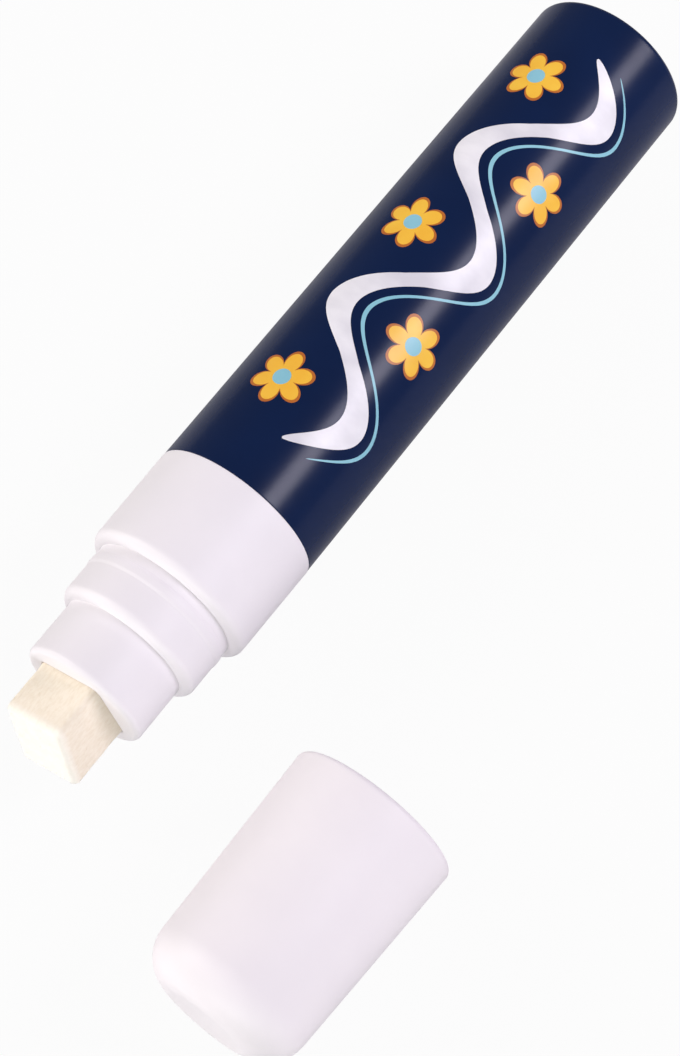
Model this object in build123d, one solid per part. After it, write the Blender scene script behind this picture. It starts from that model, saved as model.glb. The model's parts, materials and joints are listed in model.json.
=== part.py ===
from build123d import *
import os
from math import cos, radians, tan

# Liquid chalk marker lying on a table, with its cap taken off beside it.
# Millimetres. The origin is on the marker's axis where the barrel meets the nose,
# +X runs along the axis to the tail, +Z is up, and the table is at -barrel_radius.

# Barrel: the ink tank
barrel_radius = 14.0
barrel_length = 101.9
barrel_wall = 1.5
tail_wall = 1.8
tail_edge_radius = 1.0
tail_inner_radius = 1.2
tail_rim_width = 4.5
tail_dish_depth = 0.6

# Nose, from the barrel to the tip: collar, step, nozzle
collar_length = 17.4
collar_draft = 0.14
seam_edge_radius = 0.2
shoulder_width = 1.86
shoulder_edge_radius = 1.6
step_length = 9.5
step_edge_radius = 1.5
nozzle_setback = 1.75
nozzle_length = 9.9
nozzle_edge_radius = 1.0
bead_from_shoulder = 2.5
bead_width = 2.0
bead_height = 0.14

# Nose, inside the barrel: the spigot and its sealing ring
spigot_length = 10.0
spigot_clearance = 0.1
spigot_wall = 2.0
ring_from_end = 5.0
ring_width = 1.7
ring_groove_depth = 1.1
ring_side_gap = 0.15
ring_squeeze_gap = 0.02
ring_corner_radius = 0.5

# Nib: a square block of felt with a slanted front, turned about the marker's axis
nib_side = 11.5
nib_edge_radius = 1.2
nib_front_radius = 1.1
nib_reach = 11.0
nib_slant = 11.0
nib_seat_depth = 16.8
nib_clearance = 0.15
nib_roll = -20.0

# Valve: a body pressed into the spigot, and the stem, seal, spring and cage in it
valve_travel = 2.5
nib_overtravel = 1.5
body_fit = 0.05
body_rib_width = 2.0
tube_setback = 1.3
tube_wall = 1.6
gasket_thickness = 0.8
gasket_width = 1.6
seat_thickness = 1.7
seat_land = 1.7
stem_radius = 2.5
stem_clearance = 0.2
flute_rib = 1.6
seal_thickness = 1.2
seal_clearance = 0.05
disc_thickness = 1.5
tail_rod_radius = 1.6
tail_rod_overhang = 1.5
cage_clearance = 0.05
cage_wall = 1.2
cage_length = 18.0
cage_lip = 1.1
cage_end_wall = 1.5
guide_clearance = 0.25
window_count = 4
window_length = 9.0
window_width = 4.0
port_wall = 0.7
spring_wire = 0.7
spring_inset = 1.1
spring_coils = 7
spring_end_gap = 0.05
boss_length = 2.0
boss_clearance = 0.25

# Mixing ball, loose in the barrel
ball_radius = 4.0
ball_gap = 0.1
ball_x = 60.0

# Cap
cap_clearance = 0.1
cap_wall = 1.6
cap_draft_angle = 1.69
cap_edge_radius = 6.4
cap_mouth_edge_radius = 0.9
cap_lead_in = 0.4
cap_end_wall = 2.0
cap_groove_clearance = 0.15
liner_seal_clearance = 0.05
liner_wall = 0.9
liner_fit = 0.05
liner_lip_radius = 0.4
ledge_spare = 1.5
nib_headroom = 4.9

# Where the cap lies: its open end faces the tail, and its tapered side lies on the table
cap_mouth_x = -25.85
cap_gap = 17.1
cap_yaw = -2.3

# Stations along the marker's axis
shoulder_x = -collar_length
step_front_x = shoulder_x - step_length
nose_front_x = step_front_x - nozzle_length
nib_front_x = nose_front_x - nib_reach
nib_rear_x = nose_front_x + nib_seat_depth
socket_end_x = nib_rear_x + valve_travel + nib_overtravel
seat_front_x = socket_end_x + gasket_thickness
seat_x = seat_front_x + seat_thickness
seal_rear_x = seat_x + seal_thickness
disc_rear_x = seal_rear_x + disc_thickness
cage_front_x = spigot_length - cage_length
cage_rear_x = spigot_length + cage_end_wall
ring_x = spigot_length - ring_from_end
barrel_end_x = barrel_length - tail_dish_depth - tail_wall

# Radii of the housings, worked inwards from the barrel
collar_front_radius = barrel_radius - collar_draft
step_radius = collar_front_radius - shoulder_width
nozzle_radius = step_radius - nozzle_setback
barrel_bore = barrel_radius - barrel_wall
spigot_radius = barrel_bore - spigot_clearance
cavity_radius = spigot_radius - spigot_wall
body_radius = cavity_radius - body_fit
tube_radius = cavity_radius - tube_setback
chamber_radius = tube_radius - tube_wall
cage_radius = chamber_radius - cage_clearance
cage_bore = cage_radius - cage_wall

# Radii of the valve's core, worked outwards from the stem; the ink flows between the two
seat_hole_radius = stem_radius + stem_clearance
disc_radius = seat_hole_radius + seat_land
spring_radius = disc_radius - spring_inset
guide_radius = tail_rod_radius + guide_clearance

# Sizes of the cap that follow the nose
cap_bore = step_radius + cap_clearance
cap_mouth_radius = cap_bore + cap_wall
liner_inner_radius = nozzle_radius + liner_seal_clearance
liner_outer_radius = liner_inner_radius + liner_wall
liner_bore = liner_outer_radius + liner_fit
ledge_depth = step_length + ledge_spare
cap_room = step_length + nozzle_length + nib_reach + nib_headroom
cap_length = cap_room + liner_wall + liner_fit + cap_end_wall
cap_end_radius = cap_mouth_radius - cap_length * tan(radians(cap_draft_angle))


def turned(points):
    # Turns a closed outline about X. Each point is (x, radius, corner rounding).
    corners = [(x, radius) for x, radius, _ in points]
    roundings = [rounding for _, _, rounding in points]
    outline = FilletPolyline(*corners, radius=roundings, close=True)
    return revolve(make_face(outline), axis=Axis.X)


def ridge(middle_x, foot_radius, width, height):
    # Outline points of a low rounded ridge on a bar, or of a groove in a bore.
    # Its top is half as wide as its foot.
    foot_half = width / 2
    top_half = foot_half / 2
    top_radius = foot_radius + height
    rounding = foot_half
    return [
        (middle_x + foot_half, foot_radius, 0),
        (middle_x + top_half, top_radius, rounding),
        (middle_x - top_half, top_radius, rounding),
        (middle_x - foot_half, foot_radius, 0),
    ]


def round_bar(start_x, end_x, radius):
    # A solid cylinder along X.
    return turned([(start_x, 0, 0), (start_x, radius, 0), (end_x, radius, 0), (end_x, 0, 0)])


def square_bar(front_x, rear_x, side, edge_radius, slant=0.0):
    # A square bar along X with rounded long edges, its front cut on a slant, turned as the nib is.
    half = side / 2
    short_front_x = front_x + side * tan(radians(slant))
    side_view = Polyline((front_x, -half), (short_front_x, half), (rear_x, half), (rear_x, -half), close=True)
    bar = extrude(Plane.XZ * make_face(side_view), half, both=True)
    bar = fillet(bar.edges().filter_by(Axis.X), edge_radius)
    return Rot(nib_roll, 0, 0) * bar


def make_barrel():
    dish_radius = barrel_radius - tail_rim_width
    return turned([
        (0, barrel_radius, 0),
        (barrel_length, barrel_radius, tail_edge_radius),
        (barrel_length, dish_radius, 0),
        (barrel_length - tail_dish_depth, dish_radius, 0),
        (barrel_length - tail_dish_depth, 0, 0),
        (barrel_end_x, 0, 0),
        (barrel_end_x, barrel_bore, tail_inner_radius),
        (0, barrel_bore, 0),
    ])


def make_nose_holder():
    bead = ridge(shoulder_x - bead_from_shoulder, step_radius, bead_width, bead_height)
    groove_half = ring_width / 2 + ring_side_gap
    groove_radius = spigot_radius - ring_groove_depth
    body = turned([
        (0, barrel_radius, seam_edge_radius),
        (shoulder_x, collar_front_radius, shoulder_edge_radius),
        (shoulder_x, step_radius, 0),
        *bead,
        (step_front_x, step_radius, step_edge_radius),
        (step_front_x, nozzle_radius, 0),
        (nose_front_x, nozzle_radius, nozzle_edge_radius),
        (nose_front_x, 0, 0),
        (socket_end_x, 0, 0),
        (socket_end_x, cavity_radius, 0),
        (spigot_length, cavity_radius, 0),
        (spigot_length, spigot_radius, 0),
        (ring_x + groove_half, spigot_radius, 0),
        (ring_x + groove_half, groove_radius, 0),
        (ring_x - groove_half, groove_radius, 0),
        (ring_x - groove_half, spigot_radius, 0),
        (0, spigot_radius, 0),
    ])
    socket_side = nib_side + 2 * nib_clearance
    socket = square_bar(nose_front_x, socket_end_x, socket_side, nib_edge_radius + nib_clearance)
    return body - socket


def make_holder_o_ring():
    # Shown squeezed between the groove's floor and the barrel's bore.
    inner = spigot_radius - ring_groove_depth + ring_squeeze_gap
    outer = barrel_bore - ring_squeeze_gap
    start = ring_x - ring_width / 2
    end = ring_x + ring_width / 2
    return turned([
        (start, inner, ring_corner_radius),
        (start, outer, ring_corner_radius),
        (end, outer, ring_corner_radius),
        (end, inner, ring_corner_radius),
    ])


def make_nib():
    # The side of the block that faces up is the short one.
    block = square_bar(nib_front_x, nib_rear_x, nib_side, nib_edge_radius, nib_slant)
    front_edges = block.faces().sort_by(Axis.X)[0].edges()
    return fillet(front_edges, nib_front_radius)


def make_body_gasket():
    # Seals the valve body against the floor of the nose's cavity.
    inner = body_radius - gasket_width
    return turned([
        (socket_end_x, inner, 0),
        (socket_end_x, body_radius, 0),
        (seat_front_x, body_radius, 0),
        (seat_front_x, inner, 0),
    ])


def make_valve_body():
    rib_x = spigot_length - body_rib_width
    return turned([
        (seat_front_x, seat_hole_radius, 0),
        (seat_front_x, body_radius, 0),
        (seat_x, body_radius, 0),
        (seat_x, tube_radius, 0),
        (rib_x, tube_radius, 0),
        (rib_x, body_radius, 0),
        (spigot_length, body_radius, 0),
        (spigot_length, chamber_radius, 0),
        (seat_x, chamber_radius, 0),
        (seat_x, seat_hole_radius, 0),
    ])


def make_valve_stem():
    # Fluted front, so that ink passes the seat, then the disc, the spring's boss and the tail rod.
    stem_length = seal_rear_x - nib_rear_x
    rib = Box(stem_length, 2 * stem_radius, flute_rib, align=(Align.MIN, Align.CENTER, Align.CENTER))
    cross = rib + Rot(90, 0, 0) * rib
    flutes = Pos(nib_rear_x, 0, 0) * cross & round_bar(nib_rear_x, seal_rear_x, stem_radius)
    boss_radius = spring_radius - spring_wire / 2 - boss_clearance
    tail_x = cage_rear_x + tail_rod_overhang
    rear = turned([
        (seal_rear_x, 0, 0),
        (seal_rear_x, disc_radius, 0),
        (disc_rear_x, disc_radius, 0),
        (disc_rear_x, boss_radius, 0),
        (disc_rear_x + boss_length, boss_radius, 0),
        (disc_rear_x + boss_length, tail_rod_radius, 0),
        (tail_x, tail_rod_radius, 0),
        (tail_x, 0, 0),
    ])
    return flutes + rear


def make_valve_seal():
    inner = stem_radius + seal_clearance
    return turned([
        (seat_x, inner, 0),
        (seat_x, disc_radius, 0),
        (seal_rear_x, disc_radius, 0),
        (seal_rear_x, inner, 0),
    ])


def make_valve_cage():
    cup = turned([
        (cage_front_x, cage_bore, 0),
        (cage_front_x, cage_radius, 0),
        (spigot_length, cage_radius, 0),
        (spigot_length, chamber_radius + cage_lip, 0),
        (cage_rear_x, chamber_radius + cage_lip, 0),
        (cage_rear_x, guide_radius, 0),
        (spigot_length, guide_radius, 0),
        (spigot_length, cage_bore, 0),
    ])
    window_x = (cage_front_x + spigot_length) / 2
    port_circle = (cage_bore + guide_radius) / 2
    port_radius = (cage_bore - guide_radius) / 2 - port_wall
    port = Pos(0, 0, port_circle) * round_bar(spigot_length, cage_rear_x, port_radius)
    window = Pos(window_x, 0, cage_radius) * Box(window_length, window_width, 2 * cage_radius)
    for index in range(window_count):
        turn = Rot(index * 360 / window_count, 0, 0)
        cup -= turn * port
        cup -= turn * (window & round_bar(cage_front_x, spigot_length, cage_radius))
    return cup


def make_valve_spring():
    start = disc_rear_x + spring_end_gap + spring_wire / 2
    end = spigot_length - spring_end_gap - spring_wire / 2
    pitch = (end - start) / spring_coils
    path = Helix(pitch, end - start, spring_radius, center=(start, 0, 0), direction=(1, 0, 0))
    section = Plane(origin=path @ 0, z_dir=path % 0) * Circle(spring_wire / 2)
    print("valve spring: gap between turns", round(pitch - spring_wire, 2))
    return sweep(section, path=path, is_frenet=True)


def make_mixing_ball():
    return Pos(ball_x, 0, ball_radius + ball_gap - barrel_bore) * Sphere(ball_radius)


def on_table(piece):
    # Lays a cap piece beside the nose. Its own X axis runs out of the cap's open end.
    mouth_y = -(barrel_radius + cap_gap + cap_mouth_radius)
    mouth_z = cap_mouth_radius * cos(radians(cap_draft_angle)) - barrel_radius
    return Pos(cap_mouth_x, mouth_y, mouth_z) * Rot(0, 0, cap_yaw) * Rot(0, -cap_draft_angle, 0) * piece


def make_cap_shell():
    inner_end_radius = cap_edge_radius - cap_wall
    groove_height = bead_height - cap_clearance + cap_groove_clearance
    groove_width = bead_width + 2 * cap_groove_clearance
    groove = ridge(-bead_from_shoulder, cap_bore, groove_width, groove_height)
    shell = turned([
        (0, cap_mouth_radius, cap_mouth_edge_radius),
        (-cap_length, cap_end_radius, cap_edge_radius),
        (-cap_length, 0, 0),
        (cap_end_wall - cap_length, 0, 0),
        (cap_end_wall - cap_length, liner_bore, inner_end_radius),
        (-ledge_depth, liner_bore, 0),
        (-ledge_depth, cap_bore, 0),
        *reversed(groove),
        (-cap_lead_in, cap_bore, 0),
        (0, cap_bore + cap_lead_in, 0),
    ])
    return on_table(shell)


def make_cap_liner():
    outer_end_radius = cap_edge_radius - cap_wall - liner_fit
    inner_end_radius = outer_end_radius - liner_wall
    end = cap_end_wall + liner_fit - cap_length
    liner = turned([
        (-ledge_depth, liner_inner_radius, liner_lip_radius),
        (-ledge_depth, liner_outer_radius, 0),
        (end, liner_outer_radius, outer_end_radius),
        (end, 0, 0),
        (end + liner_wall, 0, 0),
        (end + liner_wall, liner_inner_radius, inner_end_radius),
    ])
    return on_table(liner)


makers = {
    "barrel": make_barrel,
    "nose_holder": make_nose_holder,
    "holder_o_ring": make_holder_o_ring,
    "nib": make_nib,
    "body_gasket": make_body_gasket,
    "valve_body": make_valve_body,
    "valve_stem": make_valve_stem,
    "valve_seal": make_valve_seal,
    "valve_cage": make_valve_cage,
    "valve_spring": make_valve_spring,
    "mixing_ball": make_mixing_ball,
    "cap_shell": make_cap_shell,
    "cap_liner": make_cap_liner,
}

os.makedirs("parts", exist_ok=True)
for name, make in makers.items():
    piece = make()
    piece.label = name
    export_step(piece, "parts/" + name + ".step")
    print(name, round(piece.volume), "mm3")
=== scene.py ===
import json
import math
import bmesh
import bpy
from mathutils import Matrix, Vector, noise


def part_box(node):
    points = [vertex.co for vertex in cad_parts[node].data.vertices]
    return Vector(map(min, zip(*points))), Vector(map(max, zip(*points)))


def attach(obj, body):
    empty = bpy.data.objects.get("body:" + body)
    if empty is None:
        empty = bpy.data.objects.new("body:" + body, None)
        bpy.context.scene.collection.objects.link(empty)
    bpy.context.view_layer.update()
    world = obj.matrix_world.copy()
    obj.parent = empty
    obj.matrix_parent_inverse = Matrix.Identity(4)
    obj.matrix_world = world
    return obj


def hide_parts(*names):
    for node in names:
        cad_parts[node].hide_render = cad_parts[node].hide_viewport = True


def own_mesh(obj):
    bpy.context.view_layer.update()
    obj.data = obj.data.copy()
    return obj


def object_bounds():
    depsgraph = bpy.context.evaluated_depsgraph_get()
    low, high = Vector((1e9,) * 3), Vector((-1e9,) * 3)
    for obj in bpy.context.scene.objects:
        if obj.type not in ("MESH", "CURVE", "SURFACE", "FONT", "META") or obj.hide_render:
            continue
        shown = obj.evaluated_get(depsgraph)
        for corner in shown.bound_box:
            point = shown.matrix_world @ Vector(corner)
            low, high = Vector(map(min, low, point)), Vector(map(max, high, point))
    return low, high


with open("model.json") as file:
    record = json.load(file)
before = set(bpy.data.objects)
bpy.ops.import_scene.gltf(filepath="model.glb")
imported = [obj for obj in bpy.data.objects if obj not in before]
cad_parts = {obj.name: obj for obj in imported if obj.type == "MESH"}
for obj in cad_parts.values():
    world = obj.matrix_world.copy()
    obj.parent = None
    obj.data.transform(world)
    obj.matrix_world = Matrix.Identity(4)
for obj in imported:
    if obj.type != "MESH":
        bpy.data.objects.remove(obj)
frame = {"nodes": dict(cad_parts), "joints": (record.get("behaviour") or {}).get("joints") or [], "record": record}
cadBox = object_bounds()
mm = 0.001    # sizes below are in millimetres, meshes in metres
print("frame loaded:", len(frame["nodes"]), "nodes")


# what the turned shells share
turning = {
    "around": 192,          # points round each ring
    "arcSteps": 10,         # rings in a rounded corner
    "edgeBreak": 0.07,      # corners drawn sharp still have this rounding
    "breakSteps": 4,
    "holdBack": 0.25,       # a ring this close to each corner keeps the flats flat
    "longRun": 1.0,         # shorter runs go without
    "inLine": 0.02,         # a corner that turns less than this, in radians, isn't rounded
    "sharpAngle": 35,       # edges steeper than this, in degrees, are shaded sharp
}


def boxOf(node):
    low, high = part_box(node)
    return low / mm, high / mm


def cornerArc(before, here, after, rounding, steps):
    # the points of the arc that rounds one corner of an outline
    back = (before - here).normalized()
    on = (after - here).normalized()
    half = back.angle(on) / 2
    reach = rounding / math.tan(half)
    centre = here + (back + on).normalized() * (rounding / math.sin(half))
    start = here + back * reach - centre
    end = here + on * reach - centre
    return [centre + start.slerp(end, step / steps) * rounding for step in range(steps + 1)]


def roundedOutline(corners):
    # corners are (x, radius, rounding) in order along the outline; radius 0 is a pole
    points = []
    count = len(corners)
    for i, (x, radius, rounding) in enumerate(corners):
        here = Vector((x, radius))
        if radius == 0:
            points.append(here)
            continue
        before = Vector(corners[i - 1][:2])
        after = Vector(corners[(i + 1) % count][:2])
        if (before - here).angle(here - after) < turning["inLine"]:
            points.append(here)
            continue
        size = rounding or turning["edgeBreak"]
        steps = turning["arcSteps"] if rounding else turning["breakSteps"]
        points += cornerArc(before, here, after, size, steps)
    return points


def heldOutline(points):
    # adds the rings that hold the flats, one near each end of a long run
    held = points[:1]
    for here, there in zip(points, points[1:]):
        if (there - here).length >= turning["longRun"]:
            step = (there - here).normalized() * turning["holdBack"]
            held += [here + step, there - step]
        held.append(there)
    return held


def circleRing(x, radius):
    if radius == 0:    # a pole
        return [Vector((x, 0, 0))]
    ring = []
    for i in range(turning["around"]):
        angle = math.tau * i / turning["around"]
        ring.append(Vector((x, radius * math.sin(angle), radius * math.cos(angle))))
    return ring


def squareReach(angle, half, corner):
    # how far a rounded square reaches from its middle at an angle from one side's normal
    quarter = math.pi / 2
    off = abs((angle + quarter / 2) % quarter - quarter / 2)
    if half * math.tan(off) <= half - corner:
        return half / math.cos(off)
    inset = half - corner
    along = inset * (math.cos(off) + math.sin(off))
    return along + math.sqrt(along * along - 2 * inset * inset + corner * corner)


def squareRing(x, half, corner, roll, slant=0.0):
    # roll turns the square about X; slant leans the ring back towards its upper side
    ring = []
    for i in range(turning["around"]):
        angle = math.tau * i / turning["around"]
        reach = squareReach(angle - roll, half, corner)
        up = reach * math.cos(angle - roll)
        ring.append(Vector((x + up * slant, reach * math.sin(angle), reach * math.cos(angle))))
    return ring


def shellFromRings(name, rings, closed=False, place=Matrix()):
    # skins one ring to the next, and the last to the first if closed; a pole is a ring of one point
    shell = bmesh.new()
    made = [[shell.verts.new(point) for point in ring] for ring in rings]
    pairs = list(zip(made, made[1:]))
    if closed:
        pairs.append((made[-1], made[0]))
    for first, second in pairs:
        count = max(len(first), len(second))
        for i in range(count):
            j = (i + 1) % count
            corners = [first[i % len(first)], first[j % len(first)]]
            corners += [second[j % len(second)], second[i % len(second)]]
            shell.faces.new(list(dict.fromkeys(corners)))
    bmesh.ops.recalc_face_normals(shell, faces=shell.faces[:])
    shell.transform(place @ Matrix.Scale(mm, 4))
    mesh = bpy.data.meshes.new(name)
    shell.to_mesh(mesh)
    shell.free()
    return smoothObject(name, mesh)


def smoothObject(name, mesh):
    mesh.shade_smooth()
    mesh.set_sharp_from_angle(angle=math.radians(turning["sharpAngle"]))
    piece = bpy.data.objects.new(name, mesh)
    bpy.context.scene.collection.objects.link(piece)
    return piece


def turnedShell(name, corners, place=Matrix()):
    outline = heldOutline(roundedOutline(corners))
    return shellFromRings(name, [circleRing(x, radius) for x, radius in outline], place=place)


def dress(piece, material, body, slotName, *nodes):
    if material:
        piece.data.materials.clear()
        piece.data.materials.append(material)
    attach(piece, body)
    if nodes:
        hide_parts(*nodes)


# node helpers for the materials
def newSurface(name, **fixed):
    material = bpy.data.materials.new(name)
    material.use_nodes = True
    shader = material.node_tree.nodes["Principled BSDF"]
    for socket, value in fixed.items():
        shader.inputs[socket.replace("_", " ")].default_value = value
    return material, shader


def objectNoise(material, scale, detail, stretch=(1, 1, 1)):
    nodes = material.node_tree.nodes
    links = material.node_tree.links
    coords = nodes.new("ShaderNodeTexCoord")
    mapping = nodes.new("ShaderNodeMapping")
    mapping.inputs["Scale"].default_value = stretch
    texture = nodes.new("ShaderNodeTexNoise")
    texture.inputs["Scale"].default_value = scale
    texture.inputs["Detail"].default_value = detail
    links.new(coords.outputs["Object"], mapping.inputs["Vector"])
    links.new(mapping.outputs["Vector"], texture.inputs["Vector"])
    return texture.outputs["Fac"]


def colourBetween(material, factor, first, second, low=0.3, high=0.7):
    nodes = material.node_tree.nodes
    ramp = nodes.new("ShaderNodeValToRGB")
    ramp.color_ramp.elements[0].position = low
    ramp.color_ramp.elements[1].position = high
    ramp.color_ramp.elements[0].color = (*first, 1)
    ramp.color_ramp.elements[1].color = (*second, 1)
    material.node_tree.links.new(factor, ramp.inputs["Fac"])
    return ramp.outputs["Color"]


def spread(material, factor, low, high):
    ranged = material.node_tree.nodes.new("ShaderNodeMapRange")
    ranged.inputs["To Min"].default_value = low
    ranged.inputs["To Max"].default_value = high
    material.node_tree.links.new(factor, ranged.inputs["Value"])
    return ranged.outputs["Result"]


def bumped(material, shader, height, strength, distance, under=None):
    bump = material.node_tree.nodes.new("ShaderNodeBump")
    bump.inputs["Strength"].default_value = strength
    bump.inputs["Distance"].default_value = distance
    material.node_tree.links.new(height, bump.inputs["Height"])
    if under:
        material.node_tree.links.new(under, bump.inputs["Normal"])
    material.node_tree.links.new(bump.outputs["Normal"], shader.inputs["Normal"])
    return bump.outputs["Normal"]


# grain that every moulded or metal piece shares: noise scale per metre and detail
plasticGrain = {
    "cloud": (90, 5),
    "gloss": (420, 6),
    "peel": (1100, 3),
    "peelStrength": 0.25,
    "peelDepth": 0.00004,       # metres
}
metalGrain = {
    "draw": (900, 6),
    "bump": (0.15, 0.00003),    # strength, and depth in metres
}


def mouldedPlastic(name, first, second, rough, peel=plasticGrain["peelStrength"], **fixed):
    # cloudy colour, uneven gloss and the fine orange peel of a moulded surface
    material, shader = newSurface(name, **fixed)
    links = material.node_tree.links
    cloud = objectNoise(material, *plasticGrain["cloud"])
    links.new(colourBetween(material, cloud, first, second), shader.inputs["Base Color"])
    gloss = objectNoise(material, *plasticGrain["gloss"])
    links.new(spread(material, gloss, *rough), shader.inputs["Roughness"])
    skin = objectNoise(material, *plasticGrain["peel"])
    bumped(material, shader, skin, peel, plasticGrain["peelDepth"])
    return material


def wornMetal(name, first, second, rough, stretch=(1, 1, 1)):
    material, shader = newSurface(name, Metallic=1.0)
    links = material.node_tree.links
    grain = objectNoise(material, *metalGrain["draw"], stretch)
    links.new(colourBetween(material, grain, first, second), shader.inputs["Base Color"])
    links.new(spread(material, grain, *rough), shader.inputs["Roughness"])
    bumped(material, shader, grain, *metalGrain["bump"])
    return material


# helpers for the node trees that make geometry
def newTree(name, inputs):
    tree = bpy.data.node_groups.new(name, "GeometryNodeTree")
    panel = tree.interface
    keys = {}
    for label, kind in inputs.items():
        item = panel.new_socket(name=label, in_out="INPUT", socket_type="NodeSocket" + kind)
        keys[label] = item.identifier
    panel.new_socket(name="Geometry", in_out="OUTPUT", socket_type="NodeSocketGeometry")
    return tree, keys, tree.nodes.new("NodeGroupInput").outputs


def feed(tree, socket, value):
    if isinstance(value, bpy.types.NodeSocket):
        tree.links.new(value, socket)
    else:
        socket.default_value = value


def treeNode(tree, kind, settings=None, **inputs):
    node = tree.nodes.new(kind)
    for setting, value in (settings or {}).items():
        setattr(node, setting, value)
    for label, value in inputs.items():
        feed(tree, node.inputs[label.replace("_", " ")], value)
    return node.outputs


def reckon(tree, operation, first, second=0.0):
    node = tree.nodes.new("ShaderNodeMath")
    node.operation = operation
    feed(tree, node.inputs[0], first)
    feed(tree, node.inputs[1], second)
    return node.outputs[0]


def closeTree(tree, geometry, material):
    # every tree ends the same way
    real = treeNode(tree, "GeometryNodeRealizeInstances", Geometry=geometry)
    done = treeNode(tree, "GeometryNodeSetMaterial", Geometry=real["Geometry"], Material=material)
    tree.links.new(done["Geometry"], tree.nodes.new("NodeGroupOutput").inputs["Geometry"])


def grow(name, tree, keys, values, source=None):
    # runs the tree once and keeps the result as a plain mesh
    seed = bpy.data.objects.new(name + "Seed", source or bpy.data.meshes.new(name + "Seed"))
    bpy.context.scene.collection.objects.link(seed)
    modifier = seed.modifiers.new(name, "NODES")
    modifier.node_group = tree
    for label, value in values.items():
        modifier[keys[label]] = value
    evaluated = seed.evaluated_get(bpy.context.evaluated_depsgraph_get())
    mesh = bpy.data.meshes.new_from_object(evaluated)
    mesh.name = name
    seed.modifiers.clear()
    bpy.data.objects.remove(seed)
    return smoothObject(name, mesh)


# barrel: one moulded tube, open at the nose and closed at the tail
barrelLook = {
    "inkDepth": 0.06,           # the print builds up this far, out to the full radius
    "wall": 1.5,
    "tailEdge": 1.0,
    "tailRim": 4.5,
    "tailDish": 0.6,
    "dishEdge": 0.2,
    "tailWall": 1.8,
    "tailInner": 1.2,
    "gateRadius": 1.6,          # mark of the moulding gate in the dish
    "gateTop": 0.9,             # its top is this share of its foot
    "gateHeight": 0.25,
    "gateFootEdge": 0.1,
    "gateTopEdge": 0.08,
    "navy": (0.0022, 0.0122, 0.056),
    "navyDeep": (0.0018, 0.0102, 0.048),
    "rough": (0.23, 0.28),
    "peel": 0.06,
    "specular": 0.2,
}
barrelHigh = boxOf("barrel")[1]
barrelRadius = barrelHigh.z
barrelLength = barrelHigh.x
printRadius = barrelRadius - barrelLook["inkDepth"]


def makeBarrel():
    look = barrelLook
    bore = barrelRadius - look["wall"]
    dish = barrelRadius - look["tailRim"]
    floor = barrelLength - look["tailDish"]
    gate = floor + look["gateHeight"]
    inside = floor - look["tailWall"]
    corners = [
        (inside, 0, 0),
        (inside, bore, look["tailInner"]),
        (0, bore, 0),
        (0, printRadius, 0),
        (barrelLength, printRadius, look["tailEdge"]),
        (barrelLength, dish, 0),
        (floor, dish, look["dishEdge"]),
        (floor, look["gateRadius"], look["gateFootEdge"]),
        (gate, look["gateRadius"] * look["gateTop"], look["gateTopEdge"]),
        (gate, 0, 0),
    ]
    gloss = mouldedPlastic("navyGloss", look["navyDeep"], look["navy"], look["rough"], look["peel"],
                           Specular_IOR_Level=look["specular"])
    skin = turnedShell("barrel_skin", corners)
    dress(skin, gloss, "marker", "navy_barrel", "barrel")


makeBarrel()
print("barrel made")


# print on the barrel: a swinging ribbon with flowers in its bays, the same on both sides
printLook = {
    "layer": 0.018,             # thickness of one coat of ink
    "start": 9.0,               # where the ribbon starts, from the nose
    "end": 93.0,
    "middle": 2.6,              # its middle line, round the barrel from the top
    "swing": 7.2,
    "waves": 2.5,
    "ribbonWidth": 4.6,
    "ribbonSwell": 0.28,        # how much wider it is in the crests than between them
    "betweenCrests": 0.8,       # share of the width that is left between the crests
    "endLift": 14.0,            # the higher, the later the ends draw in
    "endOpen": 1.002,           # just over 1, so that the ends stay open
    "ribbonPoints": (281, 11),  # along and across
    "threadWidth": 0.9,         # thin companion line
    "threadOffset": 4.6,
    "petals": 6,
    "petalReach": 4.6,          # from a flower's middle to a petal's tip
    "petalWaist": 2.1,          # and to the notch between two petals
    "petalFullness": 0.75,      # the lower, the fuller a petal's sides
    "petalEdge": 0.5,           # orange line round the petals
    "flowerEye": 1.45,
    "flowerDrop": 6.4,          # how far a flower sits from the middle line, across from the crest
    "flowerTurn": 0.4,          # each is turned this much more than the one before, in radians
    "flowerPoints": 120,        # round the edge
    "flowerRings": 6,
    "ribbonCoat": 1.6,          # how high each print stands, counted in coats
    "threadCoat": 0.6,
    "edgeCoat": 0.7,
    "petalCoat": 1.6,
    "eyeCoat": 2.5,
    "white": (0.86, 0.85, 0.885),
    "silver": (0.66, 0.65, 0.70),
    "blue": (0.27, 0.56, 0.66),
    "blueDeep": (0.22, 0.50, 0.61),
    "yellow": (0.90, 0.55, 0.055),
    "yellowDeep": (0.86, 0.45, 0.035),
    "orange": (0.50, 0.15, 0.018),
    "orangeDeep": (0.43, 0.115, 0.014),
    "cloud": (130, 4),          # noise scale per metre and detail
    "cloudBlend": (0.35, 0.65),
    "whiteStretch": (1, 0.6, 0.6),
    "grain": (1500, 3),
    "rough": (0.36, 0.46),
    "bump": (0.12, 0.00003),    # strength, and depth in metres
}


def inkMaterial(name, first, second, stretch=(1, 1, 1)):
    look = printLook
    material, shader = newSurface(name)
    links = material.node_tree.links
    cloud = objectNoise(material, *look["cloud"], stretch)
    colour = colourBetween(material, cloud, first, second, *look["cloudBlend"])
    links.new(colour, shader.inputs["Base Color"])
    grain = objectNoise(material, *look["grain"])
    links.new(spread(material, grain, *look["rough"]), shader.inputs["Roughness"])
    bumped(material, shader, grain, *look["bump"])
    return material


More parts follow.
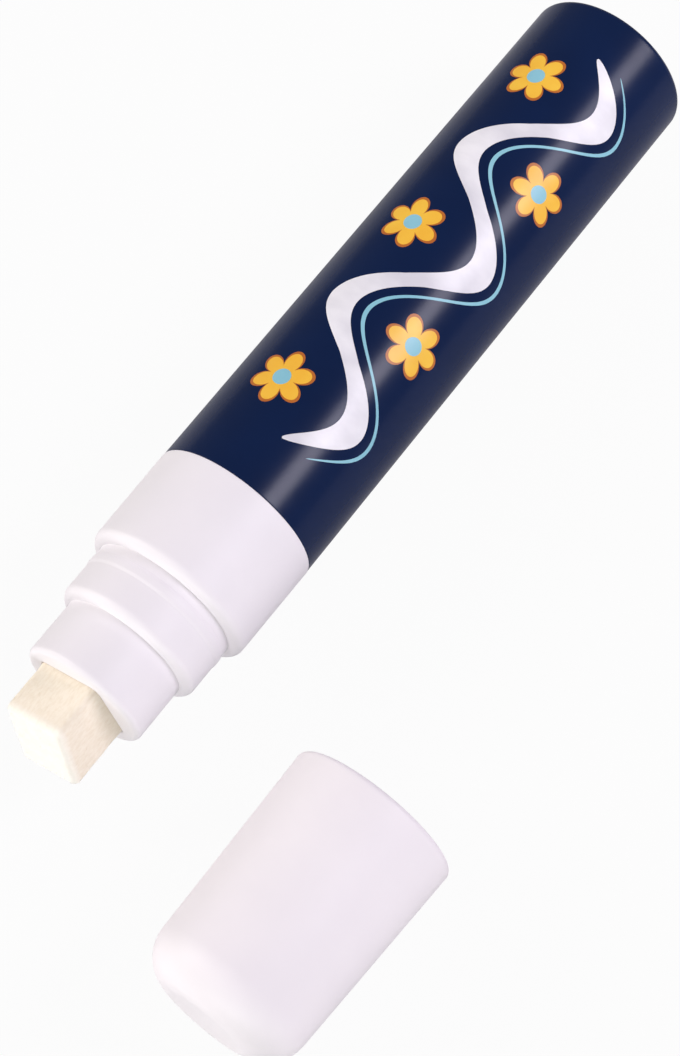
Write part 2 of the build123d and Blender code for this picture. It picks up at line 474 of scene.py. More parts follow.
def wrapped(tree, geometry, along, across, height, radius):
    # lays flat positions round the barrel, then adds the same again on the far side
    reach = reckon(tree, "ADD", radius, height)
    angle = reckon(tree, "DIVIDE", across, radius)
    side = reckon(tree, "MULTIPLY", reckon(tree, "SINE", angle), reach)
    y = reckon(tree, "MULTIPLY", side, -1.0)
    z = reckon(tree, "MULTIPLY", reckon(tree, "COSINE", angle), reach)
    spot = treeNode(tree, "ShaderNodeCombineXYZ", X=along, Y=y, Z=z)["Vector"]
    near = treeNode(tree, "GeometryNodeSetPosition", Geometry=geometry, Position=spot)["Geometry"]
    far = treeNode(tree, "GeometryNodeTransform", Geometry=near, Rotation=(math.pi, 0, 0))
    join = tree.nodes.new("GeometryNodeJoinGeometry")
    tree.links.new(near, join.inputs["Geometry"])
    tree.links.new(far["Geometry"], join.inputs["Geometry"])
    return join.outputs["Geometry"]


def ribbonTree():
    look = printLook
    floats = ["Start", "Length", "Middle", "Swing", "Turns", "Width", "Swell", "Lift"]
    floats += ["Layer", "Radius"]
    inputs = {label: "Float" for label in floats}
    inputs["Ink"] = "Material"
    tree, keys, given = newTree("wavyRibbon", inputs)
    size = treeNode(tree, "ShaderNodeCombineXYZ", X=given["Length"], Y=1.0, Z=given["Layer"])
    columns, rows = look["ribbonPoints"]
    strip = treeNode(tree, "GeometryNodeMeshCube", Size=size["Vector"], Vertices_X=columns,
                     Vertices_Y=rows, Vertices_Z=2)
    place = treeNode(tree, "GeometryNodeInputPosition")["Position"]
    spot = treeNode(tree, "ShaderNodeSeparateXYZ", Vector=place)
    share = reckon(tree, "ADD", reckon(tree, "DIVIDE", spot["X"], given["Length"]), 0.5)
    along = reckon(tree, "MULTIPLY_ADD", share, given["Length"])
    feed(tree, along.node.inputs[2], given["Start"])
    turn = reckon(tree, "MULTIPLY", reckon(tree, "MULTIPLY", share, given["Turns"]), math.tau)
    wave = reckon(tree, "SINE", turn)
    centre = reckon(tree, "ADD", reckon(tree, "MULTIPLY", wave, given["Swing"]), given["Middle"])
    # the ends are drawn in as a brush lifts
    off = reckon(tree, "SUBTRACT", reckon(tree, "MULTIPLY", share, 2.0), 1.0)
    lift = reckon(tree, "POWER", reckon(tree, "ABSOLUTE", off), look["endLift"])
    taper = reckon(tree, "SQRT", reckon(tree, "SUBTRACT", look["endOpen"], lift))
    crest = reckon(tree, "MULTIPLY", reckon(tree, "ABSOLUTE", wave), given["Swell"])
    swell = reckon(tree, "ADD", crest, look["betweenCrests"])
    width = reckon(tree, "MULTIPLY", given["Width"], reckon(tree, "MULTIPLY", taper, swell))
    across = reckon(tree, "ADD", centre, reckon(tree, "MULTIPLY", spot["Y"], width))
    height = reckon(tree, "ADD", spot["Z"], given["Lift"])
    both = wrapped(tree, strip["Mesh"], along, across, height, given["Radius"])
    closeTree(tree, both, given["Ink"])
    return tree, keys


def flowerTree():
    look = printLook
    floats = ["Start", "Pitch", "Middle", "Drop", "Turn", "Petals", "Notch", "Reach", "Lift"]
    floats += ["Layer", "Radius"]
    inputs = {label: "Float" for label in floats}
    inputs["Count"] = "Int"
    inputs["Ink"] = "Material"
    tree, keys, given = newTree("flowerRow", inputs)
    # one flower: a disc whose edge is drawn in between the petals
    disc = treeNode(tree, "GeometryNodeMeshCylinder", {"fill_type": "TRIANGLE_FAN"},
                    Vertices=look["flowerPoints"], Fill_Segments=look["flowerRings"],
                    Radius=given["Reach"], Depth=given["Layer"])
    place = treeNode(tree, "GeometryNodeInputPosition")["Position"]
    spot = treeNode(tree, "ShaderNodeSeparateXYZ", Vector=place)
    angle = reckon(tree, "ARCTAN2", spot["Y"], spot["X"])
    around = reckon(tree, "MULTIPLY", angle, given["Petals"])
    lobe = reckon(tree, "ABSOLUTE", reckon(tree, "COSINE", reckon(tree, "MULTIPLY", around, 0.5)))
    gap = reckon(tree, "SUBTRACT", 1.0, reckon(tree, "POWER", lobe, look["petalFullness"]))
    share = reckon(tree, "SUBTRACT", 1.0, reckon(tree, "MULTIPLY", gap, given["Notch"]))
    across = reckon(tree, "MULTIPLY", spot["X"], share)
    up = reckon(tree, "MULTIPLY", spot["Y"], share)
    drawn = treeNode(tree, "ShaderNodeCombineXYZ", X=across, Y=up, Z=spot["Z"])["Vector"]
    flower = treeNode(tree, "GeometryNodeSetPosition", Geometry=disc["Mesh"], Position=drawn)
    # the row: every other one on the far side of the middle line
    first = treeNode(tree, "ShaderNodeCombineXYZ", X=given["Start"])["Vector"]
    step = treeNode(tree, "ShaderNodeCombineXYZ", X=given["Pitch"])["Vector"]
    line = treeNode(tree, "GeometryNodeMeshLine", Count=given["Count"], Start_Location=first,
                    Offset=step)
    index = treeNode(tree, "GeometryNodeInputIndex")["Index"]
    side = reckon(tree, "COSINE", reckon(tree, "MULTIPLY", index, math.pi))
    drop = reckon(tree, "ADD", reckon(tree, "MULTIPLY", side, given["Drop"]), given["Middle"])
    shift = treeNode(tree, "ShaderNodeCombineXYZ", Y=drop, Z=given["Lift"])["Vector"]
    points = treeNode(tree, "GeometryNodeSetPosition", Geometry=line["Mesh"], Offset=shift)
    turn = reckon(tree, "MULTIPLY", index, given["Turn"])
    spin = treeNode(tree, "ShaderNodeCombineXYZ", Z=turn)["Vector"]
    row = treeNode(tree, "GeometryNodeInstanceOnPoints", Points=points["Geometry"],
                   Instance=flower["Geometry"], Rotation=spin)
    flat = treeNode(tree, "GeometryNodeRealizeInstances", Geometry=row["Instances"])["Geometry"]
    both = wrapped(tree, flat, spot["X"], spot["Y"], spot["Z"], given["Radius"])
    closeTree(tree, both, given["Ink"])
    return tree, keys


def makePrint():
    look = printLook
    layer = look["layer"] * mm
    whiteInk = inkMaterial("silverWhiteInk", look["silver"], look["white"], look["whiteStretch"])
    blueInk = inkMaterial("paleBlueInk", look["blueDeep"], look["blue"])
    yellowInk = inkMaterial("yellowInk", look["yellowDeep"], look["yellow"])
    orangeInk = inkMaterial("orangeInk", look["orangeDeep"], look["orange"])
    length = look["end"] - look["start"]
    ribbon, ribbonKeys = ribbonTree()
    shared = {
        "Start": look["start"] * mm,
        "Length": length * mm,
        "Turns": look["waves"],
        "Layer": layer,
        "Radius": printRadius * mm,
        "Swing": look["swing"] * mm,
    }
    white = {
        "Middle": look["middle"] * mm,
        "Width": look["ribbonWidth"] * mm,
        "Swell": look["ribbonSwell"],
        "Lift": layer * look["ribbonCoat"],
        "Ink": whiteInk,
    }
    thread = {
        "Middle": (look["middle"] + look["threadOffset"]) * mm,
        "Width": look["threadWidth"] * mm,
        "Swell": 0.0,
        "Lift": layer * look["threadCoat"],
        "Ink": blueInk,
    }
    for name, own in {"print_ribbon": white, "print_thread": thread}.items():
        piece = grow(name, ribbon, ribbonKeys, {**shared, **own})
        dress(piece, None, "marker", "navy_barrel")
    flowers, flowerKeys = flowerTree()
    wave = length / look["waves"]
    row = {
        "Start": (look["start"] + wave / 4) * mm,     # at the first crest
        "Pitch": wave / 2 * mm,
        "Count": round(look["waves"] * 2),
        "Middle": look["middle"] * mm,
        "Drop": -look["flowerDrop"] * mm,
        "Turn": look["flowerTurn"],
        "Layer": layer,
        "Radius": printRadius * mm,
        "Petals": look["petals"],
    }
    reach, waist = look["petalReach"], look["petalWaist"]
    edge, eye = look["petalEdge"], look["flowerEye"]
    coats = [
        ("print_flower_edge", reach + edge, waist + edge, look["edgeCoat"], orangeInk),
        ("print_flower", reach, waist, look["petalCoat"], yellowInk),
        ("print_flower_eye", eye, eye, look["eyeCoat"], blueInk),
    ]
    for name, tip, notch, coat, ink in coats:
        own = {"Reach": tip * mm, "Notch": 1 - notch / tip, "Lift": layer * coat, "Ink": ink}
        piece = grow(name, flowers, flowerKeys, {**row, **own})
        dress(piece, None, "marker", "navy_barrel")


makePrint()
print("print laid on the barrel")


# nose: collar, step and nozzle turned in one, with the square socket for the nib
noseLook = {
    "collar": 17.4,
    "draft": 0.14,
    "seamEdge": 0.2,
    "shoulder": 1.86,
    "shoulderEdge": 1.6,
    "step": 9.5,
    "stepEdge": 1.5,
    "nozzleSetback": 1.75,
    "nozzleEdge": 1.0,
    "beadFromShoulder": 2.5,
    "beadFoot": 1.0,
    "beadTop": 0.5,
    "beadHeight": 0.14,
    "beadEdge": 1.0,
    "spigotGap": 0.1,
    "spigotWall": 2.0,
    "ringFromEnd": 5.0,
    "ringGroove": (2.0, 1.1),   # width and depth
    "socketSide": 11.8,
    "socketCorner": 1.35,
    "socketEdge": 0.15,
    "socketHold": 0.6,          # a ring this far in keeps the socket's sides flat
    "socketEnd": -16.0,
    "leads": (1.0, 2.0),        # how far the outline leads in and out along its end faces
    "roll": 20.0,               # the socket's upper side leans this far over to +Y, in degrees
    "white": (0.86, 0.83, 0.855),
    "whiteDeep": (0.83, 0.80, 0.83),
    "rough": (0.46, 0.56),
}
noseLow, noseHigh = boxOf("nose_holder")
noseFront = noseLow.x
spigotEnd = noseHigh.x


def makeNose():
    look = noseLook
    shoulderX = -look["collar"]
    stepX = shoulderX - look["step"]
    collarRadius = barrelRadius - look["draft"]
    stepRadius = collarRadius - look["shoulder"]
    nozzleRadius = stepRadius - look["nozzleSetback"]
    spigot = barrelRadius - barrelLook["wall"] - look["spigotGap"]
    cavity = spigot - look["spigotWall"]
    beadX = shoulderX - look["beadFromShoulder"]
    beadRadius = stepRadius + look["beadHeight"]
    grooveX = spigotEnd - look["ringFromEnd"]
    grooveHalf = look["ringGroove"][0] / 2
    grooveFloor = spigot - look["ringGroove"][1]
    half = look["socketSide"] / 2
    corner = look["socketCorner"]
    edge = look["socketEdge"]
    roll = math.radians(look["roll"])
    end = look["socketEnd"]
    leadIn, leadOut = look["leads"]
    corners = [
        (end, cavity - leadIn, 0),
        (end, cavity, 0),
        (spigotEnd, cavity, 0),
        (spigotEnd, spigot, 0),
        (grooveX + grooveHalf, spigot, 0),
        (grooveX + grooveHalf, grooveFloor, 0),
        (grooveX - grooveHalf, grooveFloor, 0),
        (grooveX - grooveHalf, spigot, 0),
        (0, spigot, 0),
        (0, barrelRadius, look["seamEdge"]),
        (shoulderX, collarRadius, look["shoulderEdge"]),
        (shoulderX, stepRadius, 0),
        (beadX + look["beadFoot"], stepRadius, 0),
        (beadX + look["beadTop"], beadRadius, look["beadEdge"]),
        (beadX - look["beadTop"], beadRadius, look["beadEdge"]),
        (beadX - look["beadFoot"], stepRadius, 0),
        (stepX, stepRadius, look["stepEdge"]),
        (stepX, nozzleRadius, 0),
        (noseFront, nozzleRadius, look["nozzleEdge"]),
        (noseFront, half + leadOut, 0),
    ]
    lead = turning["breakSteps"] + 1     # points in the arcs of the first and last corner, left off
    outline = heldOutline(roundedOutline(corners)[lead:-lead])
    rings = [circleRing(x, radius) for x, radius in outline]
    rings.append(squareRing(noseFront, half + edge, corner + edge, roll))
    for x in (noseFront + edge, noseFront + look["socketHold"], end - edge, end):
        rings.append(squareRing(x, half, corner, roll))
    plastic = mouldedPlastic("whiteNosePlastic", look["whiteDeep"], look["white"], look["rough"])
    skin = shellFromRings("nose_skin", rings, closed=True)
    dress(skin, plastic, "marker", "white_nose", "nose_holder")


makeNose()
print("nose made")


# nib: a slanted block of pressed felt, a little uneven, with loose fibres on its faces
nibLook = {
    "side": 11.5,
    "corner": 1.2,
    "frontEdge": 1.1,
    "slant": 11.0,              # degrees
    "backEdge": 0.2,
    "backShares": (0.5, 0.97),  # sizes of the rings on the back face
    "plainBehind": 0.5,         # the rings lean towards the front from this far inside the socket
    "sideRings": 40,
    "frontRings": 18,
    "frontCorner": 0.1,         # least rounding of the rings on the front face
    "frontSoftness": 0.5,
    "hollow": 0.07,             # how far the felt's faces dip and swell
    "hollowRun": 1.5,           # the dips grow to full depth over this length out of the socket
    "hollowMean": (0.8, 0.5),   # mean depth and swing, as shares
    "dipScale": 420,            # noise scales per metre
    "dimpleScale": 1500,
    "dimpleShare": 0.6,
    "fibresPerSquareMm": 3.2,
    "fibreLength": 0.42,
    "fibreRadius": 0.014,
    "fibreTip": 0.003,
    "fibreSides": 3,
    "fibreLean": 1.15,          # radians at most
    "seed": 7,
    "cream": (0.92, 0.84, 0.70),
    "shade": (0.86, 0.765, 0.61),
    # painted highlight: near-white painted over the writing end where it faces the front light
    "chalk": (0.97, 0.955, 0.90),
    "chalkReach": (-0.2, 1.5),  # full at the first depth behind the front, gone at the second
    "chalkPatch": (500, 5),     # noise scale per metre and detail
    "chalkShare": (0.55, 1.25),
    "strands": (2400, 5, (0.4, 1, 1)),    # and stretch, long along the block
    "strandBlend": (0.3, 0.6),
    "strandBump": (0.3, 0.00008),         # strength, and depth in metres
    "nap": (5200, 4),
    "napBump": (0.3, 0.00004),
    "rough": (0.82, 0.98),
    "sheen": 0.25,
    "sheenRough": 0.6,
    "specular": 0.2,
}
nibLow, nibHigh = boxOf("nib")
nibSlant = math.tan(math.radians(nibLook["slant"]))
nibMiddle = nibLow.x + nibLook["side"] / 2 * nibSlant     # where the slanted front crosses the axis


def creamFelt():
    # fibres drawn out along the block; the writing end, the face turned to the front light, is painted near-white
    # in patches as a painted highlight
    look = nibLook
    material, shader = newSurface("creamFelt", Sheen_Weight=look["sheen"],
                                  Sheen_Roughness=look["sheenRough"],
                                  Specular_IOR_Level=look["specular"])
    nodes = material.node_tree.nodes
    links = material.node_tree.links
    fibre = objectNoise(material, *look["strands"])
    cream = colourBetween(material, fibre, look["shade"], look["cream"], *look["strandBlend"])
    coords = nodes.new("ShaderNodeTexCoord")
    depth = nodes.new("ShaderNodeVectorMath")     # distance behind the slanted front
    depth.operation = "DOT_PRODUCT"
    roll = math.radians(noseLook["roll"])
    depth.inputs[1].default_value = (1, -math.sin(roll) * nibSlant, -math.cos(roll) * nibSlant)
    links.new(coords.outputs["Object"], depth.inputs[0])
    # the painted highlight is full at the front and fades out over the first mm and a half behind it
    chalkStart, chalkEnd = [(nibMiddle + reach) * mm for reach in look["chalkReach"]]
    ranged = nodes.new("ShaderNodeMapRange")
    ranged.inputs["From Min"].default_value = chalkEnd
    ranged.inputs["From Max"].default_value = chalkStart
    links.new(depth.outputs["Value"], ranged.inputs["Value"])
    patch = nodes.new("ShaderNodeMath")
    patch.operation = "MULTIPLY"
    links.new(ranged.outputs["Result"], patch.inputs[0])
    patchyHighlight = spread(material, objectNoise(material, *look["chalkPatch"]), *look["chalkShare"])
    links.new(patchyHighlight, patch.inputs[1])
    mix = nodes.new("ShaderNodeMix")
    mix.data_type = "RGBA"
    mix.inputs["B"].default_value = (*look["chalk"], 1)
    links.new(patch.outputs["Value"], mix.inputs["Factor"])
    links.new(cream, mix.inputs["A"])
    links.new(mix.outputs["Result"], shader.inputs["Base Color"])
    links.new(spread(material, fibre, *look["rough"]), shader.inputs["Roughness"])
    strands = bumped(material, shader, fibre, *look["strandBump"])
    bumped(material, shader, objectNoise(material, *look["nap"]), *look["napBump"], strands)
    return material


def nibRings():
    look = nibLook
    roll = math.radians(noseLook["roll"])
    half = look["side"] / 2
    corner = look["corner"]
    back = nibHigh.x
    rings = [[Vector((back, 0, 0))]]
    for share in look["backShares"]:
        rings.append(squareRing(back, half * share, corner * share, roll))
    rings.append(squareRing(back - look["backEdge"], half, corner, roll))
    behind = noseFront + look["plainBehind"]
    rings.append(squareRing(behind, half, corner, roll))
    for i in range(1, look["sideRings"] + 1):
        share = i / look["sideRings"]
        x = behind + (nibMiddle + look["frontEdge"] - behind) * share
        rings.append(squareRing(x, half, corner, roll, nibSlant * share))
    steps = turning["arcSteps"]
    for i in range(1, steps + 1):
        turn = math.pi / 2 * i / steps
        inset = look["frontEdge"] * (1 - math.cos(turn))
        x = nibMiddle + look["frontEdge"] * (1 - math.sin(turn))
        rounding = max(corner - inset, look["frontCorner"])
        rings.append(squareRing(x, half - inset, rounding, roll, nibSlant))
    flat = half - look["frontEdge"]
    for i in range(1, look["frontRings"]):
        share = 1 - i / look["frontRings"]
        rounding = look["frontCorner"] + flat * look["frontSoftness"] * share * (1 - share)
        rings.append(squareRing(nibMiddle, flat * share, rounding, roll, nibSlant))
    rings.append([Vector((nibMiddle, 0, 0))])
    return rings


def unevenFelt(piece):
    # the felt dips under its faces only, so the block keeps its size
    look = nibLook
    bare = noseFront * mm
    mean, swing = look["hollowMean"]
    for vertex in piece.data.vertices:
        out = max(0.0, min(1.0, (bare - vertex.co.x) / (look["hollowRun"] * mm)))
        lump = noise.noise(vertex.co * look["dipScale"])
        lump += look["dimpleShare"] * noise.noise(vertex.co * look["dimpleScale"])
        vertex.co -= vertex.normal * look["hollow"] * mm * out * (mean + swing * lump)
    piece.data.update()


def pressTravel():
    # how far the nib slides into the nose, in metres
    press = next(joint for joint in frame["joints"] if joint["name"] == "nib_press")
    return press["range_m"][1]


def fibreTree():
    floats = ["Density", "Length", "Thickness", "Lean", "Front Of"]
    inputs = {"Felt": "Geometry", **{label: "Float" for label in floats}}
    inputs["Seed"] = "Int"
    inputs["Fibre"] = "Material"
    tree, keys, given = newTree("looseFibres", inputs)
    place = treeNode(tree, "GeometryNodeInputPosition")["Position"]
    spot = treeNode(tree, "ShaderNodeSeparateXYZ", Vector=place)
    bare = reckon(tree, "LESS_THAN", spot["X"], given["Front Of"])
    points = treeNode(tree, "GeometryNodeDistributePointsOnFaces", Mesh=given["Felt"],
                      Selection=bare, Density=given["Density"], Seed=given["Seed"])
    hair = treeNode(tree, "GeometryNodeMeshCone", Vertices=nibLook["fibreSides"],
                    Radius_Top=nibLook["fibreTip"] * mm, Radius_Bottom=given["Thickness"],
                    Depth=given["Length"])
    ahead = given["Lean"]
    back = reckon(tree, "MULTIPLY", ahead, -1.0)
    low = treeNode(tree, "ShaderNodeCombineXYZ", X=back, Y=back, Z=-math.pi)["Vector"]
    high = treeNode(tree, "ShaderNodeCombineXYZ", X=ahead, Y=ahead, Z=math.pi)["Vector"]
    lean = treeNode(tree, "FunctionNodeRandomValue", {"data_type": "FLOAT_VECTOR"},
                    Min=low, Max=high, Seed=given["Seed"])["Value"]
    turned = treeNode(tree, "FunctionNodeRotateRotation", {"rotation_space": "LOCAL"},
                      Rotation=points["Rotation"], Rotate_By=lean)["Rotation"]
    hairs = treeNode(tree, "GeometryNodeInstanceOnPoints", Points=points["Points"],
                     Instance=hair["Mesh"], Rotation=turned)
    closeTree(tree, hairs["Instances"], given["Fibre"])
    return tree, keys


def makeNib():
    look = nibLook
    felt = creamFelt()
    block = shellFromRings("nib_felt", nibRings())
    unevenFelt(block)
    tree, keys = fibreTree()
    length = look["fibreLength"] * mm
    values = {
        "Density": look["fibresPerSquareMm"] / mm ** 2,
        "Length": length,
        "Thickness": look["fibreRadius"] * mm,
        "Lean": look["fibreLean"],
        "Front Of": noseFront * mm - pressTravel() - length,    # fibres stay out of the socket
        "Seed": look["seed"],
        "Fibre": felt,
    }
    fibres = grow("nib_fibres", tree, keys, values, block.data.copy())
    dress(block, felt, "writing_tip", "cream_felt", "nib")
    dress(fibres, None, "writing_tip", "cream_felt")


makeNib()
print("nib made")


# cap: a tapering shell and the liner that seals on the nozzle, lying beside the nose
capLook = {
    "mountDepth": 7.325,        # the record's bore mount sits this deep in the mouth
    "mouth": 13.7,
    "bore": 12.1,
    "length": 38.25,
    "draftAngle": 1.69,         # degrees
    "endEdge": 6.4,
    "mouthEdge": 0.9,
    "leadIn": 0.4,
    "endWall": 2.0,
    "wall": 1.6,
    "groove": (2.5, 1.15, 0.575, 0.19),    # depth in the mouth, half foot, half top, height
    "ledge": 11.0,
    "linerInner": 10.3,
    "linerWall": 0.9,
    "linerFit": 0.05,
    "linerLip": 0.4,
    "white": (0.875, 0.835, 0.86),
    "whiteDeep": (0.845, 0.805, 0.835),
    "rough": (0.46, 0.56),
    "natural": (0.80, 0.79, 0.74),
    "naturalDeep": (0.75, 0.74, 0.69),
    "naturalRough": (0.45, 0.58),
}


def capPlace():
    # the cap's own X runs out of its mouth, as the record's mount does
    mount = next(m for m in frame["record"]["mounts"] if m["name"] == "cap_mouth")
    axis = Vector(mount["axis"]).normalized()
    mouth = Vector(mount["pos_m"]) + axis * (capLook["mountDepth"] * mm)
    turn = Vector((1, 0, 0)).rotation_difference(axis)
    return Matrix.Translation(mouth) @ turn.to_matrix().to_4x4()


def makeCap():
    look = capLook
    place = capPlace()
    length = look["length"]
    endRadius = look["mouth"] - length * math.tan(math.radians(look["draftAngle"]))
    linerOuter = look["linerInner"] + look["linerWall"]
    seat = linerOuter + look["linerFit"]
    grooveX, foot, top, height = look["groove"]
    shell = [
        (look["endWall"] - length, 0, 0),
        (look["endWall"] - length, seat, look["endEdge"] - look["wall"]),
        (-look["ledge"], seat, 0),
        (-look["ledge"], look["bore"], 0),
        (-grooveX - foot, look["bore"], 0),
        (-grooveX - top, look["bore"] + height, 0),
        (-grooveX + top, look["bore"] + height, 0),
        (-grooveX + foot, look["bore"], 0),
        (-look["leadIn"], look["bore"], 0),
        (0, look["bore"] + look["leadIn"], 0),
        (0, look["mouth"], look["mouthEdge"]),
        (-length, endRadius, look["endEdge"]),
        (-length, 0, 0),
    ]
    plastic = mouldedPlastic("whiteCapPlastic", look["whiteDeep"], look["white"], look["rough"])
    skin = turnedShell("cap_skin", shell, place)
    dress(skin, plastic, "cap", "white_cap", "cap_shell")
    outerEnd = look["endEdge"] - look["wall"] - look["linerFit"]
    end = look["endWall"] + look["linerFit"] - length
    liner = [
        (end, 0, 0),
        (end, linerOuter, outerEnd),
        (-look["ledge"], linerOuter, 0),
        (-look["ledge"], look["linerInner"], look["linerLip"]),
        (end + look["linerWall"], look["linerInner"], outerEnd - look["linerWall"]),
        (end + look["linerWall"], 0, 0),
    ]
    soft = mouldedPlastic("naturalLiner", look["naturalDeep"], look["natural"],
                          look["naturalRough"])
    cup = turnedShell("cap_liner_skin", liner, place)
    dress(cup, soft, "cap", "liner_plastic", "cap_liner")


makeCap()
print("cap made")


# valve spring: wire wound on a steady pitch
springLook = {
    "wire": 0.7,
    "coils": 7.0,
    "stepsPerCoil": 40,
    "wireSides": 12,
    "steel": (0.66, 0.66, 0.67),
    "steelDeep": (0.50, 0.50, 0.52),
    "rough": (0.18, 0.32),
    "drawn": (0.3, 1, 1),       # the grain runs along X
}


def springTree():
    floats = ["Start", "Length", "Coils", "Coil Radius", "Wire Radius"]
    inputs = {label: "Float" for label in floats}
    inputs.update({"Steps": "Int", "Sides": "Int", "Wire": "Material"})
    tree, keys, given = newTree("woundSpring", inputs)
    radius = given["Coil Radius"]
    coil = treeNode(tree, "GeometryNodeCurveSpiral", Resolution=given["Steps"],
                    Rotations=given["Coils"], Start_Radius=radius, End_Radius=radius,
                    Height=given["Length"])
    start = treeNode(tree, "ShaderNodeCombineXYZ", X=given["Start"])["Vector"]
    laid = treeNode(tree, "GeometryNodeTransform", Geometry=coil["Curve"], Translation=start,
                    Rotation=(0, math.pi / 2, 0))
    section = treeNode(tree, "GeometryNodeCurvePrimitiveCircle", Resolution=given["Sides"],
                       Radius=given["Wire Radius"])
    wire = treeNode(tree, "GeometryNodeCurveToMesh", Curve=laid["Geometry"],
                    Profile_Curve=section["Curve"], Fill_Caps=True)
    closeTree(tree, wire["Mesh"], given["Wire"])
    return tree, keys


def makeSpring():
    look = springLook
    low, high = boxOf("valve_spring")
    radius = look["wire"] / 2
    start = low.x + radius
    length = high.x - radius - start
    steel = wornMetal("springSteel", look["steelDeep"], look["steel"], look["rough"], look["drawn"])
    tree, keys = springTree()
    values = {
        "Start": start * mm,
        "Length": length * mm,
        "Coils": look["coils"],
        "Wire": steel,
        "Coil Radius": (high.y - radius) * mm,
        "Wire Radius": radius * mm,
        "Steps": look["stepsPerCoil"],
        "Sides": look["wireSides"],
    }
    spring = grow("spring_wire", tree, keys, values)
    dress(spring, None, "marker", "spring_steel", "valve_spring")
    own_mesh(spring)


makeSpring()
print("spring wound")


# inner pieces keep their own solids and get a finish each
innerLook = {
    "rubber": (0.018, 0.018, 0.020),
    "rubberDusty": (0.035, 0.035, 0.038),
    "rubberRough": (0.55, 0.75),
    "rubberPeel": 0.3,
    "acetal": (0.74, 0.74, 0.71),
    "acetalDeep": (0.67, 0.67, 0.64),
    "acetalRough": (0.4, 0.52),
    "ball": (0.75, 0.75, 0.77),
    "ballDeep": (0.66, 0.66, 0.68),
    "ballRough": (0.06, 0.14),
}


def dressInner():
    look = innerLook
    rubber = mouldedPlastic("sealRubber", look["rubber"], look["rubberDusty"],
                            look["rubberRough"], look["rubberPeel"])
    acetal = mouldedPlastic("valvePlastic", look["acetalDeep"], look["acetal"], look["acetalRough"])
    ball = wornMetal("ballSteel", look["ballDeep"], look["ball"], look["ballRough"])
    finishes = {
        "holder_o_ring": rubber,
        "body_gasket": rubber,
        "valve_seal": rubber,
        "valve_body": acetal,
        "valve_stem": acetal,
        "valve_cage": acetal,
        "mixing_ball": ball,
    }
    for node, material in finishes.items():
        for slot in frame["nodes"][node].material_slots:
            slot.material = material


dressInner()
print("inner pieces dressed")


# floor, lights and camera, with lengths in metres and angles in degrees
studio = {
    "floorDrop": 0.00001,
    "floorReach": 18.0,
    "floorSides": 64,
    "backdropHeight": 1.6,      # a low wall far off closes the horizon
    "floorColour": (0.52, 0.52, 0.52, 1),
    "floorRough": 0.9,
    "floorSpecular": 0.1,
    "whiteShare": 0.95,         # how far the camera sees the floor as plain white
    "mirrorShare": 0.1,         # and how far reflections do
    "worldColour": (1.0, 0.975, 0.985, 1),
    "worldStrength": 0.275,
    # name: place, aimed at, width, height, watts, colour
    "lights": {
        "frontLow": ((-1.0, -0.28, 0.10), (-0.03, -0.03, 0), 0.8, 0.3, 5.9, (0.98, 1.0, 0.985)),
        "leftSide": ((-0.45, 0.95, 0.50), (-0.02, 0, 0), 0.8, 0.8, 11.0, (1.0, 0.96, 0.945)),
        "rightLow": ((-0.30, -1.1, 0.25), (-0.03, -0.03, 0), 1.0, 0.5, 1.2, (1.0, 0.96, 0.96)),
        "barrelStrip": ((0.32, -0.40, 0.44), (0.32, 0, 0), 0.40, 0.21, 3.25, (0.95, 0.895, 1.0)),
    },
    "cameraPlace": (-0.124482, -0.110654, 0.341517),
    "cameraAzimuth": -53.842,
    "cameraElevation": 64.421,
    "lens": 85.771,
    "sensor": 36.0,
    "nearClip": 0.01,
}


def whiteShares(tree):
    # how much plain white a ray sees: most by the camera, less in reflections and through glass
    path = tree.nodes.new("ShaderNodeLightPath")
    shares = {
        "Is Camera Ray": studio["whiteShare"],
        "Is Glossy Ray": studio["mirrorShare"],
        "Is Transmission Ray": studio["mirrorShare"],
    }
    total = None
    for kind, share in shares.items():
        part = tree.nodes.new("ShaderNodeMath")
        part.operation = "MULTIPLY_ADD"
        part.inputs[1].default_value = share
        part.inputs[2].default_value = 0.0
        tree.links.new(path.outputs[kind], part.inputs[0])
        if total:
            tree.links.new(total, part.inputs[2])
        total = part.outputs["Value"]
    return total


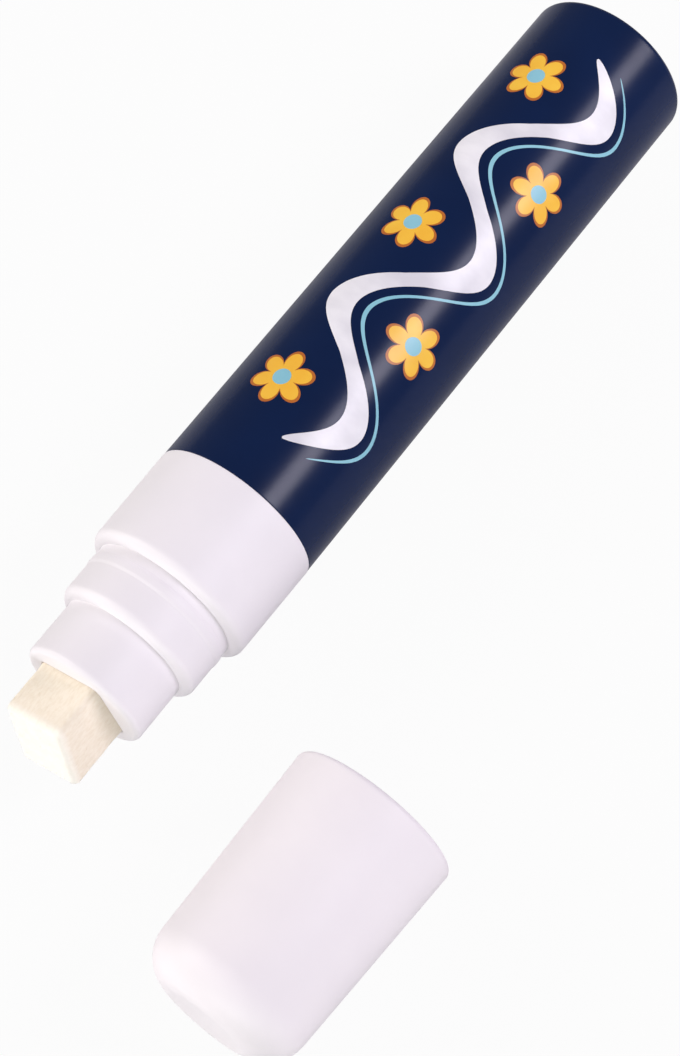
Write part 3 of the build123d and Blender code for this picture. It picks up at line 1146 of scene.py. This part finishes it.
def makeFloor():
    level = cadBox[0].z - studio["floorDrop"]
    reach = studio["floorReach"]
    plain = bmesh.new()
    bmesh.ops.create_circle(plain, cap_ends=True, radius=reach, segments=studio["floorSides"])
    rim = [edge for edge in plain.edges if edge.is_boundary]
    wall = bmesh.ops.extrude_edge_only(plain, edges=rim)["geom"]
    for vertex in wall:
        if isinstance(vertex, bmesh.types.BMVert):
            vertex.co.z += studio["backdropHeight"]
    plain.transform(Matrix.Translation((0, 0, level)))
    mesh = bpy.data.meshes.new("floor")
    plain.to_mesh(mesh)
    plain.free()
    floor = bpy.data.objects.new("floor", mesh)
    bpy.context.scene.collection.objects.link(floor)
    material, shader = newSurface("paleFloor", Base_Color=studio["floorColour"],
                                  Roughness=studio["floorRough"],
                                  Specular_IOR_Level=studio["floorSpecular"])
    tree = material.node_tree
    mix = tree.nodes.new("ShaderNodeMixShader")
    white = tree.nodes.new("ShaderNodeEmission")
    tree.links.new(whiteShares(tree), mix.inputs["Fac"])
    tree.links.new(shader.outputs["BSDF"], mix.inputs[1])
    tree.links.new(white.outputs["Emission"], mix.inputs[2])
    tree.links.new(mix.outputs["Shader"], tree.nodes["Material Output"].inputs["Surface"])
    mesh.materials.append(material)


def makeWorld():
    world = bpy.data.worlds.new("studioWorld")
    bpy.context.scene.world = world
    world.use_nodes = True
    soft = world.node_tree.nodes["Background"]
    soft.inputs["Color"].default_value = studio["worldColour"]
    soft.inputs["Strength"].default_value = studio["worldStrength"]


def makeLights():
    for name, (place, target, width, height, watts, colour) in studio["lights"].items():
        data = bpy.data.lights.new(name, "AREA")
        data.shape = "RECTANGLE"
        data.size = width
        data.size_y = height
        data.energy = watts
        data.color = colour
        lamp = bpy.data.objects.new(name, data)
        lamp.location = place
        aim = Vector(target) - Vector(place)
        lamp.rotation_euler = aim.to_track_quat("-Z", "Y").to_euler()
        bpy.context.scene.collection.objects.link(lamp)


def makeCamera():
    turn = math.radians(studio["cameraAzimuth"])
    rise = math.radians(studio["cameraElevation"])
    flat = math.cos(rise)
    back = Vector((math.sin(turn) * flat, -math.cos(turn) * flat, math.sin(rise)))
    data = bpy.data.cameras.new("camera")
    data.lens = studio["lens"]
    data.sensor_width = studio["sensor"]
    data.clip_start = studio["nearClip"]
    camera = bpy.data.objects.new("camera", data)
    camera.location = studio["cameraPlace"]
    camera.rotation_euler = (-back).to_track_quat("-Z", "Y").to_euler()
    bpy.context.scene.collection.objects.link(camera)
    bpy.context.scene.camera = camera


makeFloor()
makeWorld()
makeLights()
makeCamera()
bpy.context.scene.view_settings.view_transform = "Standard"
print("studio set")
